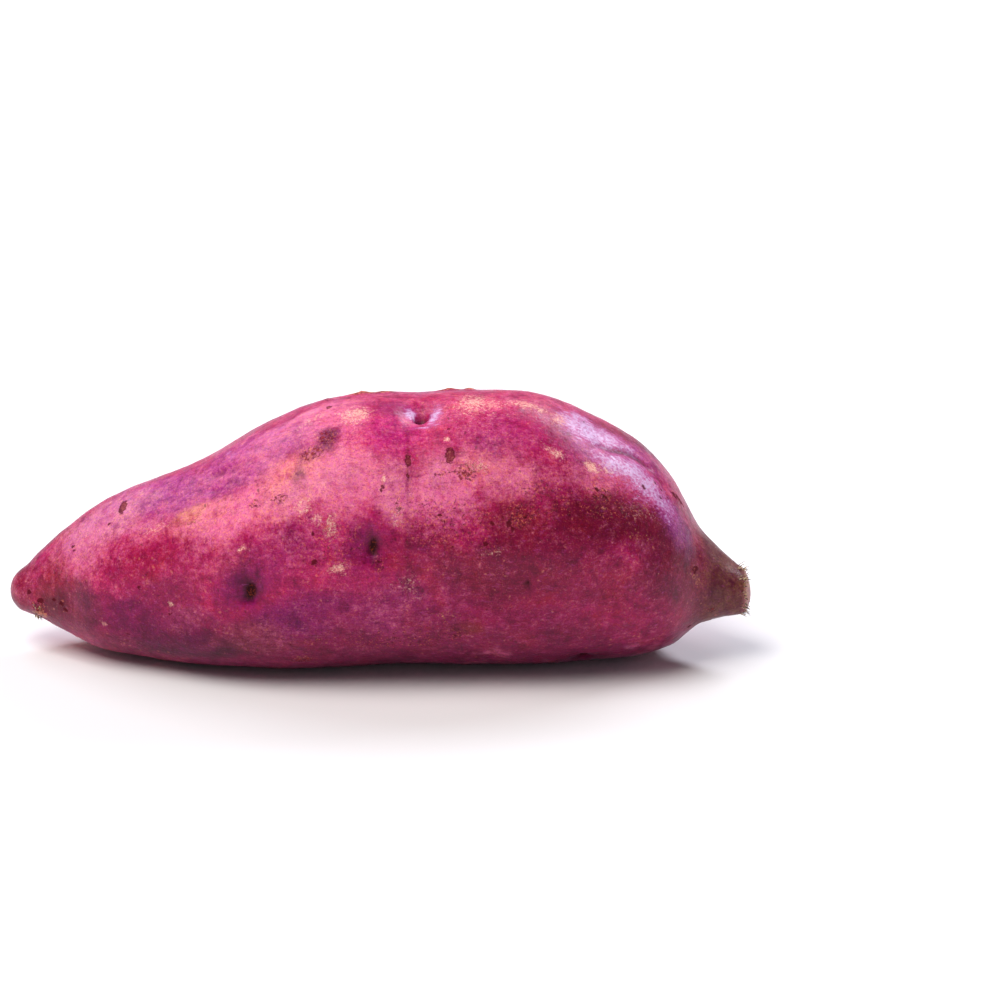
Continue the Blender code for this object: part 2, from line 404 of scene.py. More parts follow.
# The short side over the long side of a scattered scar or crust, and the heights in mm of the
# scattered scars and scabs.
SLIM = 0.5
FAR_SCAR_HEIGHT = 0.1
FAR_SCAB_HEIGHT = 0.08

# Only tones of a half length over this, in mm, are scattered, with edges this much more uneven.
BROAD = 5.5
FAR_UNEVENNESS = 2.2

# The plain skin's relief in mm, and where along it, in mm from the tip, the tip's wrinkles fade
# out and the stem's come in.
LUMP_RELIEF = 0.15
WRINKLE_RELIEF = 0.03
END_RELIEF = 0.09
GRAIN_RELIEF = 0.025
TIP_WRINKLES = (12, 34)
STEM_WRINKLES = (150, 172)

# The reach of an eye's hollow, the place and the width of its rim, in sizes of its dark middle,
# and how much wider than long the darker skin round it is.
HOLLOW_REACH = 2
RIM_AT = 2.9
RIM_WIDTH = 0.9
HALO_WIDTH = 1.1

# A scar's raised ring is this wide, as a share of its size, and its sunk middle fades this fast.
SCAR_RING = 0.5
SCAR_FALL = 1.6

# How deep dots and worn places are sunk and how high crusts stand, in mm, and how much wider a
# crease's groove is than its dark line.
DOT_DEPTH = 0.05
WORN_DEPTH = 0.04
CRUST_HEIGHT = 0.52
CREASE_REACH = 1.4

# How far noise moves the edges of things, as a share of their size.
EYE_RAGGED = 0.15
HALO_RAGGED = 0.35
SCAB_RAGGED = 0.25
PATCH_RAGGED = 0.3

# A scab fades between these shares of its size, and other patches at this rate from the middle.
SCAB_EDGE = (0.4, 1.4)
PATCH_FALL = 0.85

# The distance in mm that stands for no hole, dot or scar nearby.
FAR_OFF = 6

# Tufts of torn fibres: name, count, seed, distance from the tip in mm, degrees round from the top
# towards the camera and the spread round that, reach out of the skin in mm, lean along the root.
FIBRES = (
    ("tip_fibres", 26, 3, 7, 140, 34, 1.3, 0.2),
    ("stem_fibres", 60, 4, 183.4, 0, 180, 2.4, 1.8),
)

# A torn fibre: its mesh, the share of its radius that its end has lost, its least and greatest
# radius in mm and share of the reach, how far in mm its foot is sunk, it stays inside the solid's
# box and it strays along the root, and how far it leans aside and sags, as shares of its reach.
FIBRE_SIDES = 6
FIBRE_RINGS = 6
FIBRE_TAPER = 0.75
FIBRE_RADII = (0.1, 0.22)
FIBRE_LENGTHS = (0.5, 1)
FIBRE_FOOT = 0.4
FIBRE_MARGIN = 0.1
FIBRE_STRAY = 1
FIBRE_ASIDE = 0.4
FIBRE_SAG = 0.15

# The stage, in metres. Each soft light has its name, azimuth from +X towards +Y and elevation in
# degrees, width, height, power in watts and colour, and all stand at one distance from their aim.
FLOOR_SIDE = 12
FLOOR_COLOUR = (0.9, 0.9, 0.9)
WORLD_COLOUR = (0.86, 0.88, 0.95)
WORLD_STRENGTH = 0.2
LIGHTS = (
    ("key", 225, 62, 0.9, 0.9, 16, (1, 0.96, 0.93)),
    ("window_right", 50, 38, 1.1, 0.18, 12, (0.89, 0.9, 1)),
    ("window_left", 132, 46, 0.9, 0.3, 6, (0.88, 0.89, 1)),
)
LIGHT_DISTANCE = 1.3
LIGHT_AIM = Vector((0, 0, 0.03))


def linear(colour):
    """A colour of 0 to 255 as the eye counts it, as light."""
    shares = np.array(colour, float) / 255.0
    return np.where(shares <= 0.04045, shares / 12.92, ((shares + 0.055) / 1.055) ** 2.4)


def eased(low, high, values):
    """0 below low, 1 above high, and a smooth step between."""
    t = np.clip((values - low) / (high - low), 0.0, 1.0)
    return t * t * (3.0 - 2.0 * t)


# The camera, and where a pixel of the photograph is

LOOK = Vector((0.0, math.cos(CAMERA_ELEVATION), -math.sin(CAMERA_ELEVATION)))
UP = Vector((0.0, math.sin(CAMERA_ELEVATION), math.cos(CAMERA_ELEVATION)))
VIEW_MIDDLE = Vector((
    TIP_X + (PHOTO_SIDE / 2 - TIP_COLUMN) / PIXELS_PER_METRE,
    0.0,
    (TABLE_ROW - PHOTO_SIDE / 2) / PIXELS_PER_METRE / math.cos(CAMERA_ELEVATION),
))
EYE_POINT = VIEW_MIDDLE - LOOK * CAMERA_DISTANCE


def place_camera():
    data = bpy.data.cameras.new("camera")
    data.sensor_width = SENSOR
    data.lens = SENSOR * CAMERA_DISTANCE * PIXELS_PER_METRE / PHOTO_SIDE
    camera = bpy.data.objects.new("camera", data)
    camera.location = EYE_POINT
    camera.rotation_euler = LOOK.to_track_quat("-Z", "Y").to_euler()
    bpy.context.scene.collection.objects.link(camera)
    bpy.context.scene.camera = camera


# The skin's plain form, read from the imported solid

def solid_tree():
    mesh = SOLID.data
    corners = [v.co.copy() for v in mesh.vertices]
    return BVHTree.FromPolygons(corners, [p.vertices[:] for p in mesh.polygons])


def solid_sections():
    """The solid's rings from tip to tip: their place along X, their middle's Y and Z, and their
    half height. A ring's points share one X."""
    rings = {}
    for vertex in SOLID.data.vertices:
        rings.setdefault(round(vertex.co.x, 5), []).append(vertex.co)
    rows = []
    for points in rings.values():
        ys = [p.y for p in points]
        zs = [p.z for p in points]
        x = sum(p.x for p in points) / len(points)
        rows.append((x, (min(ys) + max(ys)) / 2, (min(zs) + max(zs)) / 2, (max(zs) - min(zs)) / 2))
    return np.array(sorted(rows))


TREE = solid_tree()
SECTIONS = solid_sections()


def middle_at(x):
    """The Y and Z of the root's middle at a place along X."""
    return np.interp(x, SECTIONS[:, 0], SECTIONS[:, 1]), np.interp(x, SECTIONS[:, 0], SECTIONS[:, 2])


def solid_grid():
    """Points of the solid, a row for each of its rings."""
    rows = []
    for x in SECTIONS[1:-1, 0]:
        y, z = middle_at(x)
        row = []
        for k in range(SOLID_SEGMENTS):
            angle = 2 * math.pi * k / SOLID_SEGMENTS
            out = Vector((0.0, -math.sin(angle), math.cos(angle)))
            hit = TREE.ray_cast(Vector((x, y, z)), out)[0]
            row.append(hit)
        rows.append(row)
    return np.array(rows)


def through(rows, at):
    """Rows read smoothly between, on a cubic curve. Row 1 is at 0, and row 0 only leads in."""
    i = np.clip(np.floor(at).astype(int), 0, len(rows) - 4)
    t = (at - i).reshape(-1, *([1] * (rows.ndim - 1)))
    a, b, c, d = (rows[i + k] for k in range(4))
    bend = 2 * a - 5 * b + 4 * c - d
    return b + t / 2 * ((c - a) + t * (bend + t * (3 * (b - c) + d - a)))


def skin_grid():
    """The plain skin: RINGS + 1 rows of SEGMENTS points, whose first and last rows are the tips."""
    grid = solid_grid()
    half = SOLID_SEGMENTS // 2
    ends = [np.tile([x, *middle_at(x)], (SOLID_SEGMENTS, 1)) for x in (TIP_X, STEM_X)]
    rows = [np.roll(grid[0], half, 0), ends[0], *grid, ends[1], np.roll(grid[-1], half, 0)]
    along = through(np.array(rows), np.linspace(0.0, SOLID_RINGS, RINGS + 1))
    around = np.swapaxes(along, 0, 1)
    around = np.concatenate([around[-1:], around, around[:2]])
    fine = through(around, np.arange(SEGMENTS) * SOLID_SEGMENTS / SEGMENTS)
    return np.swapaxes(fine, 0, 1)


def grid_normals(grid):
    along = np.gradient(grid, axis=0)
    around = np.roll(grid, -1, 1) - np.roll(grid, 1, 1)
    normals = np.cross(along, around)
    normals[0] = (-1.0, 0.0, 0.0)
    normals[-1] = (1.0, 0.0, 0.0)
    normals /= np.linalg.norm(normals, axis=2, keepdims=True)
    outward = grid - np.stack([grid[..., 0], *middle_at(grid[..., 0])], axis=2)
    inside_out = np.sum(normals[1:-1] * outward[1:-1]) < 0
    if inside_out:
        normals[1:-1] *= -1
    return normals


GRID = skin_grid()
NORMALS = grid_normals(GRID)
ALONG = (GRID[..., 0] - TIP_X) / MM
ANGLE = np.tile(np.arange(SEGMENTS) * 2 * math.pi / SEGMENTS, (RINGS + 1, 1))
GIRTH = np.maximum(np.interp(GRID[..., 0], SECTIONS[:, 0], SECTIONS[:, 3]) / MM, LEAST_HALF_HEIGHT)


def seen(column, row):
    """The place on the skin that a pixel of the photograph shows: its distance from the tip in mm
    and its angle round from the top towards the camera."""
    aside = (column - PHOTO_SIDE / 2) / PIXELS_PER_METRE
    above = (PHOTO_SIDE / 2 - row) / PIXELS_PER_METRE
    sight = VIEW_MIDDLE + Vector((aside, 0.0, 0.0)) + UP * above - EYE_POINT
    hit = TREE.ray_cast(EYE_POINT, sight.normalized())[0]
    if hit is None:
        raise ValueError(f"pixel {column}, {row} is off the root")
    y, z = middle_at(hit.x)
    return (hit.x - TIP_X) / MM, math.atan2(y - hit.y, hit.z - z)


def away(place, long, wide, tilt=0.0):
    """How far each point of the skin is from a place on it. 1 is the edge of an oval of that half
    length along the root and half width round it, in mm, turned by tilt in degrees."""
    beside = ALONG - place[0]
    round_by = GIRTH * ((ANGLE - place[1] + math.pi) % (2 * math.pi) - math.pi)
    c, s = math.cos(math.radians(tilt)), math.sin(math.radians(tilt))
    return np.hypot((c * beside - s * round_by) / long, (c * round_by + s * beside) / wide)


def cloud(size, octaves=1, stretch=(1.0, 1.0, 1.0), seed=0.0):
    """Noise over the skin, about -1 to 1, with lumps of that size in mm."""
    scale = np.array(stretch) * size * MM
    points = (GRID / scale + seed).reshape(-1, 3)
    values = [noise.fractal(p, 1.0, 2.0, octaves) for p in points]
    return np.array(values).reshape(ALONG.shape)


# What stands out of the skin and sinks into it

def smear(strength, fall):
    """Strength at a fall of 0, fading to nothing at about 2."""
    return strength * np.exp(-fall ** 2)


def placed(rows):
    """Rows of a table, each with the place on the skin that its pixel shows."""
    return [(seen(column, row), rest) for column, row, *rest in rows]


def placed_round(rows):
    """Rows of a table that give a distance from the tip and degrees, each with that place."""
    return [((along, math.radians(degrees)), rest) for along, degrees, *rest in rows]


def far_places(count, seed):
    """Seeded places on the sides that the photograph doesn't show, and the draw for what follows."""
    draw = random.Random(seed)
    places = []
    while len(places) < count:
        along = draw.uniform(*SCATTER_ALONG)
        degrees = draw.uniform(*SCATTER_ROUND)
        if degrees > FAR_SIDE or (degrees < STEM_SIDE and along > STEM_PART):
            places.append((along, math.radians(degrees)))
    return places, draw


def scattered(count, seed, *ranges):
    """Seeded places on the far sides, each with a draw from every range."""
    places, draw = far_places(count, seed)
    return [(place, [draw.uniform(low, high) for low, high in ranges]) for place in places]


def line_distance(places):
    """How far each point of the skin is from a line through places on it, in mm."""
    nearest = np.full_like(ALONG, math.inf)
    for a, b in zip(places, places[1:]):
        girth = float(np.interp(a[0], ALONG[:, 0], GIRTH[:, 0]))
        beside = ALONG - a[0]
        round_by = GIRTH * ((ANGLE - a[1] + math.pi) % (2 * math.pi) - math.pi)
        run = (b[0] - a[0], girth * (b[1] - a[1]))
        share = (beside * run[0] + round_by * run[1]) / (run[0] ** 2 + run[1] ** 2)
        share = np.clip(share, 0.0, 1.0)
        nearest = np.minimum(nearest, np.hypot(beside - share * run[0], round_by - share * run[1]))
    return nearest


class Fields:
    """The relief of the skin in mm, and what the material reads at each of its points. Holes, dots
    and scars are distances outside their edges in mm, and the rest are strengths."""

    def __init__(self):
        self.ragged = cloud(2.4, 3, seed=7.0)
        self.lumps = cloud(9.0, 3, seed=3.0)
        wrinkle = cloud(3.4, 2, stretch=(1.0, 7.0, 7.0), seed=11.0)
        near_ends = 1.0 - eased(*TIP_WRINKLES, ALONG) + eased(*STEM_WRINKLES, ALONG)
        self.relief = LUMP_RELIEF * self.lumps + wrinkle * (WRINKLE_RELIEF + END_RELIEF * near_ends)
        self.relief += GRAIN_RELIEF * self.ragged
        distances = ("hole", "dot", "scar")
        strengths = ("halo", "scab", "worn", "crust", "bloom", "shade")
        self.read = {name: np.full_like(self.relief, FAR_OFF) for name in distances}
        self.read |= {name: np.zeros_like(self.relief) for name in strengths}

    def nearest(self, name, distance):
        self.read[name] = np.minimum(self.read[name], distance)

    def strongest(self, name, strength):
        self.read[name] = np.maximum(self.read[name], strength)

    def add_eyes(self):
        for place, (long, wide, deep, rim, reach, dark) in placed(EYES) + placed_round(FAR_EYES):
            fall = away(place, long, wide) * (1.0 + EYE_RAGGED * self.ragged)
            self.relief -= smear(deep, fall / HOLLOW_REACH)
            self.relief += smear(rim, (fall - RIM_AT) / RIM_WIDTH)
            self.nearest("hole", (fall - 1.0) * min(long, wide))
            if reach:
                halo = away(place, reach, reach * HALO_WIDTH) * (1.0 + HALO_RAGGED * self.lumps)
                self.strongest("halo", smear(dark, halo))

    def add_dots(self):
        for place, (size,) in placed(DOTS) + scattered(*FAR_DOTS):
            fall = away(place, size, size)
            self.relief -= smear(DOT_DEPTH, fall)
            self.nearest("dot", (fall - 1.0) * size)

    def add_scars(self):
        """Each scar is a raised ring round a sunk middle."""
        drawn = scattered(*FAR_SCARS)
        far = [(place, (wide * SLIM, wide, tilt, FAR_SCAR_HEIGHT)) for place, (wide, tilt) in drawn]
        for place, (long, wide, tilt, high) in placed(SCARS) + far:
            fall = away(place, long, wide, tilt)
            self.relief += smear(high, (fall - 1.0) / SCAR_RING) - smear(high, fall * SCAR_FALL)
            self.nearest("scar", (fall - 1.0) * min(long, wide))

    def add_scabs(self):
        far = []
        for place, (long, share, tilt, dark) in scattered(*FAR_SCABS):
            far.append((place, (long, long * share, tilt, FAR_SCAB_HEIGHT, dark)))
        for place, (long, wide, tilt, high, dark) in placed(SCABS) + far:
            fall = away(place, long, wide, tilt) * (1.0 + SCAB_RAGGED * self.ragged)
            inside = 1.0 - eased(*SCAB_EDGE, fall)
            self.relief += high * inside * (0.6 + 0.8 * self.ragged)
            self.strongest("scab", dark * inside)

    def add_patches(self, name, rows):
        """Ragged patches that fade outwards."""
        for place, (long, wide, tilt, strength) in rows:
            fall = away(place, long, wide, tilt) * (1.0 + PATCH_RAGGED * self.ragged)
            self.strongest(name, smear(strength, fall * PATCH_FALL))

    def add_worn(self):
        far = []
        for place, (long, share, tilt, strength) in scattered(*FAR_WORN):
            far.append((place, (long, long * share, tilt, strength)))
        self.add_patches("worn", placed(WORN) + far)
        self.relief -= WORN_DEPTH * self.read["worn"]

    def add_crusts(self):
        far = []
        for place, (long, tilt, strength) in scattered(*FAR_CRUSTS):
            far.append((place, (long, long * SLIM, tilt, strength)))
        self.add_patches("crust", placed_round(CRUSTS) + far)
        self.relief += CRUST_HEIGHT * self.read["crust"] ** 2 * (0.8 + 0.6 * self.ragged)

    def add_creases(self):
        for pixels, wide, deep, dark in CREASES:
            fall = line_distance([seen(*pixel) for pixel in pixels]) / wide
            self.relief -= smear(deep, fall / CREASE_REACH)
            # The crease's darkness is painted shade.
            self.strongest("shade", smear(dark, fall) * (0.75 + 0.35 * self.ragged))


def build_fields():
    fields = Fields()
    fields.add_eyes()
    fields.add_dots()
    fields.add_scars()
    fields.add_scabs()
    fields.add_worn()
    fields.add_crusts()
    # Painted sheen, highlights and reflection, laid as patches.
    fields.add_patches("bloom", placed(PAINTED_SHEENS))
    fields.add_creases()
    return fields.relief, fields.read


def far_tones():
    """Seeded patches on the far sides, in the colours of the broader tones."""
    kinds = [(colour, share) for _, _, long, _, _, colour, share, _ in TONES if long > BROAD]
    count, seed, lengths, widths, tilts, strengths = FAR_TONES
    places, draw = far_places(count, seed)
    patches = []
    for place in places:
        long = draw.uniform(*lengths)
        wide = draw.uniform(*widths)
        tilt = draw.uniform(*tilts)
        colour, share = draw.choice(kinds)
        patches.append((place, (long, wide, tilt, colour, share, draw.uniform(*strengths))))
    return patches


def build_tone():
    """The broad colour of the skin at each point, as light, and its share of pale crumbs."""
    from_top = np.abs((ANGLE + math.pi) % (2 * math.pi) - math.pi)
    soft = cloud(14.0, 3, seed=21.0)
    rough = cloud(4.0, 3, seed=27.0)
    uneven = 0.3 * soft + 0.22 * rough
    # Painted shade: darker towards the belly.
    belly_shade = eased(*np.radians(SHADED_BELLY_FROM), from_top + 0.25 * soft)[..., None]
    tone = (1 - belly_shade) * linear(TOP_TONE) + belly_shade * linear(SHADED_BELLY_TONE)
    crumbs = np.full_like(ALONG, PLAIN_CRUMBS)
    patches = [(*patch, FAR_UNEVENNESS) for patch in far_tones()]
    patches += [(*patch, 1.0) for patch in placed(TONES)]
    for place, (long, wide, tilt, colour, share, strength), unevenness in patches:
        fall = away(place, long, wide, tilt) * (1.0 + unevenness * uneven)
        amount = strength * (1.0 - eased(*TONE_EDGE, fall))
        tone = (1 - amount[..., None]) * tone + amount[..., None] * linear(colour)
        crumbs = (1 - amount) * crumbs + amount * share
    # Fewer pale crumbs low on the root, part of the painted shade there.
    crumbs *= CRUMB_SHARE - LOW_LOSS * eased(*np.radians(LOW_FROM), from_top)
    stem = eased(*STEM_FROM, ALONG + 2.0 * soft)
    crumbs *= 1.0 - STEM_LOSS * stem
    torn = eased(*TORN_FROM, ALONG + 0.5 * rough)[..., None]
    wood = (1 - torn) * linear(STEM_TONE) + torn * linear(TORN_TONE)
    return (1 - stem[..., None]) * tone + stem[..., None] * wood, crumbs


# Meshes

def link_piece(name, bm, material):
    mesh = bpy.data.meshes.new(name)
    bm.to_mesh(mesh)
    bm.free()
    mesh.shade_smooth()
    mesh.materials.append(material)
    piece = bpy.data.objects.new(name, mesh)
    bpy.context.scene.collection.objects.link(piece)
    return piece


def paint(mesh, name, values, kind="FLOAT"):
    layer = mesh.attributes.new(name, kind, "POINT")
    field = "color" if kind == "FLOAT_COLOR" else "value"
    layer.data.foreach_set(field, np.ascontiguousarray(values, np.float32).ravel())


def make_skin(material):
    """The root's skin: a sphere whose poles become the tips, laid on the grid."""
    relief, fields = build_fields()
    surface = GRID + NORMALS * ((relief * MM - SKIN_INSET)[..., None])
    surface[0] = surface[0].mean(0)
    surface[-1] = surface[-1].mean(0)
    surface = np.clip(surface, np.array(CAD_BOX[0]) + SKIN_GAP, np.array(CAD_BOX[1]) - SKIN_GAP)
    bm = bmesh.new()
    bmesh.ops.create_uvsphere(bm, u_segments=SEGMENTS, v_segments=RINGS, radius=1.0)
    rows, columns = [], []
    for vertex in bm.verts:
        x, y, z = vertex.co
        row = round(math.acos(max(-1.0, min(1.0, z))) / math.pi * RINGS)
        column = round(math.atan2(y, x) / (2 * math.pi) * SEGMENTS) % SEGMENTS
        rows.append(row)
        columns.append(column)
        vertex.co = surface[row, column]
    bmesh.ops.recalc_face_normals(bm, faces=bm.faces)
    piece = link_piece("sweet_potato_skin", bm, material)
    places = (np.array(rows), np.array(columns))
    tone, fields["crumbs"] = build_tone()
    tone = np.concatenate([tone, np.ones((*ALONG.shape, 1))], axis=2)
    paint(piece.data, "tone", tone[places], "FLOAT_COLOR")
    for name, field in fields.items():
        paint(piece.data, name, field[places])
    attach(piece, "root")
    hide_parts("sweet_potato")


def add_fibre(bm, start, end, sag, radius):
    """A tapering fibre from start to end that sags sideways by sag at its middle."""
    across = (end - start).cross(sag).normalized()
    beside = across.cross(end - start).normalized()
    rings = []
    for k in range(FIBRE_RINGS):
        t = k / (FIBRE_RINGS - 1)
        middle = start.lerp(end, t) + sag * 4 * t * (1 - t)
        thick = radius * (1.0 - FIBRE_TAPER * t)
        turns = [2 * math.pi * j / FIBRE_SIDES for j in range(FIBRE_SIDES)]
        ring = [middle + thick * (across * math.cos(a) + beside * math.sin(a)) for a in turns]
        rings.append([bm.verts.new(point) for point in ring])
    for low, high in zip(rings, rings[1:]):
        for j in range(FIBRE_SIDES):
            k = (j + 1) % FIBRE_SIDES
            bm.faces.new((low[j], low[k], high[k], high[j]))
    bm.faces.new(reversed(rings[0]))
    bm.faces.new(rings[-1])


def make_fibres(name, count, seed, along, degrees, spread, reach, lean, material):
    """Torn fibres that stand on the skin round a place on it. They reach that far out of it in
    mm, and lean along the root by lean."""
    draw = random.Random(seed)
    bm = bmesh.new()
    for _ in range(count):
        place = along + draw.uniform(-FIBRE_STRAY, FIBRE_STRAY)
        angle = math.radians(degrees + draw.uniform(-spread, spread))
        x = TIP_X + place * MM
        y, z = middle_at(x)
        out = Vector((0.0, -math.sin(angle), math.cos(angle)))
        foot = TREE.ray_cast(Vector((x, y, z)), out)[0] - out * FIBRE_FOOT * MM
        aside = [draw.uniform(-FIBRE_ASIDE, FIBRE_ASIDE) for _ in range(2)]
        way = (out + Vector((lean, *aside))).normalized()
        end = foot + way * draw.uniform(*FIBRE_LENGTHS) * reach * MM
        limits = [(low + FIBRE_MARGIN * MM, high - FIBRE_MARGIN * MM) for low, high in zip(*CAD_BOX)]
        end = Vector([min(max(v, low), high) for v, (low, high) in zip(end, limits)])
        sag = Vector([draw.uniform(-1.0, 1.0) for _ in range(3)]) * FIBRE_SAG * reach * MM
        add_fibre(bm, foot, end, sag, draw.uniform(*FIBRE_RADII) * MM)
    bmesh.ops.recalc_face_normals(bm, faces=bm.faces)
    piece = link_piece(name, bm, material)
    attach(piece, "root")


# Materials

class Graph:
    """A material's nodes, added one after another."""

    def __init__(self, name):
        self.material = bpy.data.materials.new(name)
        self.material.use_nodes = True
        self.tree = self.material.node_tree
        self.shader = self.tree.nodes["Principled BSDF"]

    def put(self, socket, value):
        if isinstance(value, bpy.types.NodeSocket):
            self.tree.links.new(value, socket)
        elif isinstance(value, tuple) and len(value) == 3 and socket.type == "RGBA":
            socket.default_value = (*value, 1.0)
        else:
            socket.default_value = value

    def add(self, kind, inputs=(), **settings):
        node = self.tree.nodes.new(kind)
        for name, value in settings.items():
            setattr(node, name, value)
        for name, value in dict(inputs).items():
            self.put(node.inputs[name], value)
        return node

    def point(self):
        return self.add("ShaderNodeTexCoord").outputs["Object"]

    def attribute(self, name, output="Fac"):
        return self.add("ShaderNodeAttribute", attribute_name=name).outputs[output]

    def plus(self, a, b):
        return self.add("ShaderNodeMath", {0: a, 1: b}, operation="ADD").outputs[0]

    def minus(self, a, b):
        return self.add("ShaderNodeMath", {0: a, 1: b}, operation="SUBTRACT").outputs[0]

    def times(self, a, b):
        return self.add("ShaderNodeMath", {0: a, 1: b}, operation="MULTIPLY").outputs[0]

    def stretched(self, point, scale):
        node = self.add("ShaderNodeVectorMath", {0: point, 1: scale}, operation="MULTIPLY")
        return node.outputs[0]

    def noise(self, point, size, detail=2.0, roughness=0.5, distortion=0.0):
        """Noise from 0 to 1 whose lumps are about size mm."""
        inputs = {
            "Vector": point,
            "Scale": 1.0 / (size * MM),
            "Detail": detail,
            "Roughness": roughness,
            "Distortion": distortion,
        }
        return self.add("ShaderNodeTexNoise", inputs).outputs["Fac"]

    def wavy(self, point, size, reach):
        """The point, moved by up to about reach mm, in waves of size mm."""
        inputs = {"Vector": point, "Scale": 1.0 / (size * MM), "Detail": 1.0}
        waves = self.add("ShaderNodeTexNoise", inputs).outputs["Color"]
        inputs = {0: waves, 1: (0.5, 0.5, 0.5)}
        moves = self.add("ShaderNodeVectorMath", inputs, operation="SUBTRACT").outputs[0]
        inputs = {0: moves, 1: (2 * reach * MM,) * 3, 2: point}
        return self.add("ShaderNodeVectorMath", inputs, operation="MULTIPLY_ADD").outputs[0]

    def grains(self, point, size):
        """Grains of size mm: a chance from 0 to 1 for each, and the distance from its middle, in
        grain sizes."""
        node = self.add("ShaderNodeTexVoronoi", {"Vector": point, "Scale": 1.0 / (size * MM)})
        chance = self.add("ShaderNodeSeparateColor", {"Color": node.outputs["Color"]}).outputs["Red"]
        return chance, node.outputs["Distance"]

    def step(self, value, low, high):
        """0 at low, 1 at high, and a smooth step between."""
        inputs = {"Value": value, "From Min": low, "From Max": high}
        node = self.add("ShaderNodeMapRange", inputs, interpolation_type="SMOOTHSTEP")
        return node.outputs["Result"]

    def blend(self, amount, a, b, blend_type="MIX"):
        node = self.add("ShaderNodeMix", data_type="RGBA", blend_type=blend_type)
        for index, value in ((0, amount), (6, a), (7, b)):
            self.put(node.inputs[index], value)
        return node.outputs[2]

    def lerp(self, amount, a, b):
        node = self.add("ShaderNodeMix", data_type="FLOAT")
        for index, value in ((0, amount), (2, a), (3, b)):
            self.put(node.inputs[index], value)
        return node.outputs[0]

    def bump(self, height, depth, normal=None):
        """A bump whose height of 1 stands depth mm out."""
        inputs = {"Height": height, "Distance": depth * MM, "Strength": 1.0}
        node = self.add("ShaderNodeBump", inputs)
        if normal is not None:
            self.put(node.inputs["Normal"], normal)
        return node.outputs["Normal"]


def tint(*colour):
    return tuple(float(v) for v in linear(colour))


# Tints of the skin's details. Where there are two, noise blends from the first to the second.
FELT_TINT = tint(246, 134, 174)
CRUMB_TINT = tint(255, 170, 166)
SPECK_TINT = tint(240, 138, 128)
# The next two are the tints of the painted sheen and highlights.
UNDER_PAINTED_SHEEN_TINT = tint(196, 74, 162)
PAINTED_SHEEN_TINT = tint(225, 192, 231)
WORN_TINTS = tint(240, 136, 140), tint(255, 212, 184)
CRUST_TINTS = tint(122, 44, 38), tint(214, 132, 98)
FLECK_TINT = tint(222, 128, 102)
PORE_TINT = tint(86, 18, 38)
TAN_TINT = tint(226, 116, 94)
SCAB_TINTS = tint(100, 0, 40), tint(160, 44, 48)
SCAR_TINTS = tint(116, 32, 46), tint(154, 78, 72)
SCAR_EDGE_TINT = tint(80, 0, 16)
DOT_TINT = tint(84, 0, 18)
HOLE_BIT_TINT = tint(122, 44, 22)
FIBRE_TINTS = tint(60, 30, 26), tint(214, 186, 150)


class SkinGraph(Graph):
    """The skin's material, its colour so far, and the noises that several layers read."""

    def __init__(self):
        super().__init__("sweet_potato_skin")
        self.colour = self.attribute("tone", "Color")
        self.at = self.point()
        self.wavy_at = self.wavy(self.at, 1.6, 0.5)
        self.lengthwise = self.stretched(self.at, (0.22, 1.0, 1.0))
        self.mottle = self.noise(self.at, 2.6, 4.0, 0.62, 0.3)
        self.blots = self.noise(self.at, 4.6, 3.0, 0.55, 0.8)
        self.streak = self.noise(self.lengthwise, 1.0, 3.0, 0.62)
        self.grain = self.noise(self.wavy_at, 0.95, 3.0, 0.74)
        self.speckle = self.noise(self.at, 0.36, 1.0, 0.6)
        self.fine = self.noise(self.at, 0.5, 2.0, 0.7)

    def cover(self, amount, over, most=1.0, blend_type="MIX"):
        """Lays a colour over the skin, as far as most where amount is 1."""
        if most < 1.0:
            amount = self.times(amount, most)
        self.colour = self.blend(amount, self.colour, over, blend_type)

    def stain(self, field, low, high, by, most=1.0):
        """Multiplies the skin's colour by another, as a field passes from low to high."""
        self.cover(self.step(field, low, high), by, most, "MULTIPLY")

    def stirred(self, value, field, weight):
        """A value moved up and down by noise."""
        return self.plus(value, self.times(self.plus(field, -0.5), weight))


def lay_clouds(g):
    """Clouds of more purple and of redder skin, and darker blots."""
    clouds = g.noise(g.at, 9.0, 5.0, 0.6, 0.5)
    g.stain(clouds, 0.5, 0.72, (0.74, 0.4, 0.8))
    g.stain(clouds, 0.5, 0.28, (1.1, 1.05, 0.74))
    g.stain(g.mottle, 0.5, 0.74, (0.78, 0.46, 0.78))
    g.stain(g.blots, 0.5, 0.7, (0.74, 0.38, 0.71))
    g.stain(g.blots, 0.46, 0.26, (1.12, 1.3, 1.12))


def lay_streaks(g):
    """Streaks along the root and fibres round it."""
    g.stain(g.streak, 0.52, 0.74, (0.74, 0.56, 0.74))
    fibre = g.noise(g.stretched(g.at, (1.0, 0.14, 0.14)), 0.8, 3.0, 0.6)
    g.stain(fibre, 0.52, 0.74, (0.78, 0.6, 0.8))


def lay_felt(g):
    """A soft felt of pale crumbs, thick in some places and thin in others."""
    share = g.plus(g.times(g.attribute("crumbs"), 1.45), -0.25)
    share = g.minus(share, g.times(g.attribute("halo"), 0.55))
    share = g.stirred(share, g.grain, 1.35)
    share = g.stirred(share, g.mottle, -1.0)
    share = g.stirred(share, g.blots, -0.6)
    share = g.stirred(share, g.streak, -0.6)
    g.cover(g.step(share, -0.05, 1.05), FELT_TINT, 0.66)
    chance, reach = g.grains(g.wavy_at, 0.7)
    crumb = g.step(g.minus(chance, g.times(share, 0.4)), 0.04, -0.1)
    g.cover(g.times(crumb, g.step(reach, 0.8, 0.2)), CRUMB_TINT, 0.16)
    pale = g.times(g.step(g.speckle, 0.52, 0.78), g.step(share, -0.6, 0.6))
    g.cover(pale, SPECK_TINT, 0.28)


